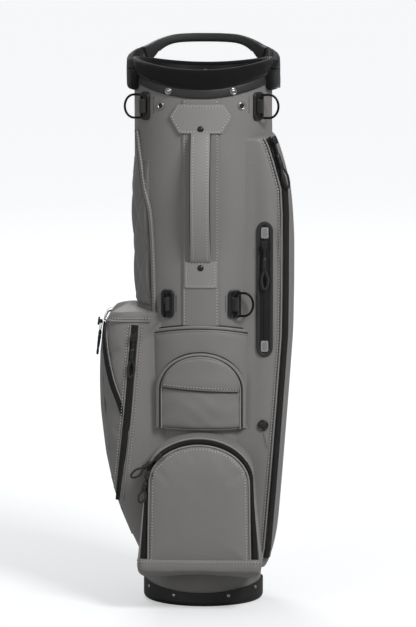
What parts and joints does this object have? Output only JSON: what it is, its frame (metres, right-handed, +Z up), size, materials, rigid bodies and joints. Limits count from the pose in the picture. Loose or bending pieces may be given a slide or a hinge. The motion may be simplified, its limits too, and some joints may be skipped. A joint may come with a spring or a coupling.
{
  "type": "golf stand bag",
  "caption": "Upright oval golf bag in smooth leatherette with a lift handle, strap rings, zipped side pockets, a ball pocket and a folding two-leg stand behind.",
  "frame": {"origin": "centre of the flat underside of the base cup", "axes": "+Z up towards the mouth, -Y towards the carrying side with the grab handle and the ball pocket, +X towards the apparel pocket"},
  "size_m": [0.3077, 0.2748, 0.8945],
  "materials": {
    "leather": "satin",
    "pocket_padding": "satin",
    "velour": "matte",
    "binding": "matte",
    "frame_plastic": "matte",
    "divider_cloth": "matte",
    "grip_rubber": "satin",
    "cup_plastic": "satin",
    "bright_metal": "polished",
    "dark_rivet": "satin",
    "black_plastic": "satin",
    "webbing": "matte",
    "black_metal": "satin",
    "zip_tape": "matte",
    "slider_metal": "satin",
    "pull_rubber": "satin",
    "leg_tube": "satin",
    "steel": "satin"
  },
  "bodies": {
    "bag": {"apparel_pocket": "pocket_padding", "badge": "bright_metal", "ball_pocket": "pocket_padding", "ball_pocket_hem": "pocket_padding", "ball_pocket_panel": "pocket_padding", "ball_pocket_zip": "zip_tape", "base_cup": "cup_plastic", "base_rivets": "dark_rivet", "body_shell": "leather", "collar_padding": "velour", "collar_ring": "frame_plastic", "collar_trim": "binding", "cooler_pocket": "pocket_padding", "divider_panels": "divider_cloth", "fixed_zip_sliders": "slider_metal", "frame_stays": "frame_plastic", "front_panel": "pocket_padding", "grab_handle": "leather", "handle_patches": "leather", "handle_rivets": "bright_metal", "hood_snaps": "bright_metal", "lift_handle_core": "frame_plastic", "lift_handle_grip": "grip_rubber", "lift_handle_wrap": "leather", "quilted_panel": "pocket_padding", "ring_bezels": "black_plastic", "ring_tabs": "webbing", "rod_guides": "black_plastic", "shoulder_pads": "velour", "side_zip_bezel": "black_plastic", "spine_strip": "leather", "stand_bracket": "black_plastic", "stand_pins": "steel", "top_divider": "frame_plastic", "valuables_pocket": "pocket_padding", "valuables_yoke": "leather", "zip_garages": "leather", "zip_tapes": "zip_tape"},
    "leg_left": {"leg_left": "leg_tube", "leg_foot_left": "grip_rubber"},
    "leg_right": {"leg_right": "leg_tube", "leg_foot_right": "grip_rubber"},
    "link_left": {"leg_link_left": "steel"},
    "link_right": {"leg_link_right": "steel"},
    "rod": {"push_rod": "steel"},
    "pedal": {"stand_pedal": "black_plastic"},
    "flap": {"valuables_flap": "leather"},
    "ring_upper_left": {"ring_upper_left": "black_metal"},
    "ring_upper_right": {"ring_upper_right": "black_metal"},
    "ring_lower_left": {"ring_lower_left": "black_metal"},
    "ring_lower_right": {"ring_lower_right": "black_metal"},
    "side_slider": {"side_zip_slider": "slider_metal"},
    "side_pull": {"side_zip_pull": "pull_rubber"},
    "cooler_slider": {"cooler_zip_slider": "slider_metal"},
    "cooler_pull": {"cooler_zip_pull": "pull_rubber"},
    "cooler_side_pull": {"cooler_side_pull": "pull_rubber"},
    "apparel_slider": {"apparel_zip_slider": "slider_metal"},
    "apparel_pull": {"apparel_zip_pull": "pull_rubber"},
    "ball_pull_a": {"ball_zip_pull_a": "pull_rubber"},
    "ball_pull_b": {"ball_zip_pull_b": "pull_rubber"}
  },
  "joints": [
    {"name": "leg_left_swing", "type": "hinge", "parent": "bag", "child": "leg_left", "pos_m": [-0.024, 0.113, 0.776], "axis": [0.9397, 0.342, 0], "range_deg": [0, 28]},
    {"name": "leg_right_swing", "type": "hinge", "parent": "bag", "child": "leg_right", "pos_m": [0.024, 0.113, 0.776], "axis": [0.9397, -0.342, 0], "range_deg": [0, 28]},
    {"name": "link_left_turn", "type": "hinge", "parent": "leg_left", "child": "link_left", "pos_m": [-0.01878, 0.11591, 0.71606], "axis": [0.9397, 0.342, 0], "range_deg": [-52, 0]},
    {"name": "link_right_turn", "type": "hinge", "parent": "leg_right", "child": "link_right", "pos_m": [0.01878, 0.11591, 0.71606], "axis": [0.9397, -0.342, 0], "range_deg": [-52, 0]},
    {"name": "rod_slide", "type": "slide", "parent": "bag", "child": "rod", "axis": [0, 0, 1], "range_m": [0, 0.0131]},
    {"name": "pedal_turn", "type": "hinge", "parent": "bag", "child": "pedal", "pos_m": [0, 0.093, 0.009], "axis": [1, 0, 0], "range_deg": [0, 31]},
    {"name": "flap_lift", "type": "hinge", "parent": "bag", "child": "flap", "pos_m": [0, -0.1071, 0.386], "axis": [-1, 0, 0], "range_deg": [0, 35]},
    {"name": "ring_upper_left_swing", "type": "hinge", "parent": "bag", "child": "ring_upper_left", "pos_m": [-0.09344, -0.06125, 0.788], "axis": [0, 0, 1], "range_deg": [-38, 118]},
    {"name": "ring_upper_right_swing", "type": "hinge", "parent": "bag", "child": "ring_upper_right", "pos_m": [0.09344, -0.06125, 0.788], "axis": [0, 0, 1], "range_deg": [-118, 38]},
    {"name": "ring_lower_left_swing", "type": "hinge", "parent": "bag", "child": "ring_lower_left", "pos_m": [-0.05552, -0.08675, 0.481], "axis": [0, 0, 1], "range_deg": [-105, 52]},
    {"name": "ring_lower_right_swing", "type": "hinge", "parent": "bag", "child": "ring_lower_right", "pos_m": [0.05552, -0.08675, 0.481], "axis": [0, 0, 1], "range_deg": [-142, 15]},
    {"name": "side_zip_slide", "type": "slide", "parent": "bag", "child": "side_slider", "axis": [0, 0, -1], "range_m": [0, 0.14]},
    {"name": "side_pull_lift", "type": "hinge", "parent": "side_slider", "child": "side_pull", "pos_m": [0.099, -0.0814, 0.574], "axis": [-1, 0, 0], "range_deg": [0, 100]},
    {"name": "cooler_zip_slide", "type": "slide", "parent": "bag", "child": "cooler_slider", "axis": [-0.0932, 0, -0.9956], "range_m": [0, 0.15]},
    {"name": "cooler_pull_lift", "type": "hinge", "parent": "cooler_slider", "child": "cooler_pull", "pos_m": [-0.10512, -0.0814, 0.42805], "axis": [-0.9956, 0, 0.0932], "range_deg": [0, 100]},
    {"name": "cooler_side_pull_lift", "type": "hinge", "parent": "bag", "child": "cooler_side_pull", "pos_m": [-0.15908, -0.035, 0.44676], "axis": [0, 1, 0], "range_deg": [0, 90]},
    {"name": "apparel_zip_slide", "type": "slide", "parent": "bag", "child": "apparel_slider", "axis": [0.3027, 0, -0.9531], "range_m": [0, 0.06]},
    {"name": "apparel_pull_lift", "type": "hinge", "parent": "apparel_slider", "child": "apparel_pull", "pos_m": [0.11206, -0.07125, 0.73617], "axis": [-0.6899, -0.6899, -0.2191], "range_deg": [0, 90]},
    {"name": "ball_pull_a_lift", "type": "hinge", "parent": "bag", "child": "ball_pull_a", "pos_m": [-0.063, -0.1482, 0.25], "axis": [-0.6, 0, 0.8], "range_deg": [0, 100]},
    {"name": "ball_pull_b_lift", "type": "hinge", "parent": "bag", "child": "ball_pull_b", "pos_m": [-0.08, -0.1482, 0.222], "axis": [-0.9684, 0, 0.2496], "range_deg": [0, 100]}
  ],
  "couplings": [
    {"joint": "leg_right_swing", "follows": "leg_left_swing", "ratio": 1},
    {"joint": "link_left_turn", "follows": "leg_left_swing", "ratio": -1.846},
    {"joint": "link_right_turn", "follows": "leg_left_swing", "ratio": -1.846},
    {"joint": "rod_slide", "follows": "leg_left_swing", "m_per_rad": 0.0264},
    {"joint": "pedal_turn", "follows": "leg_left_swing", "ratio": 1.0714}
  ]
}
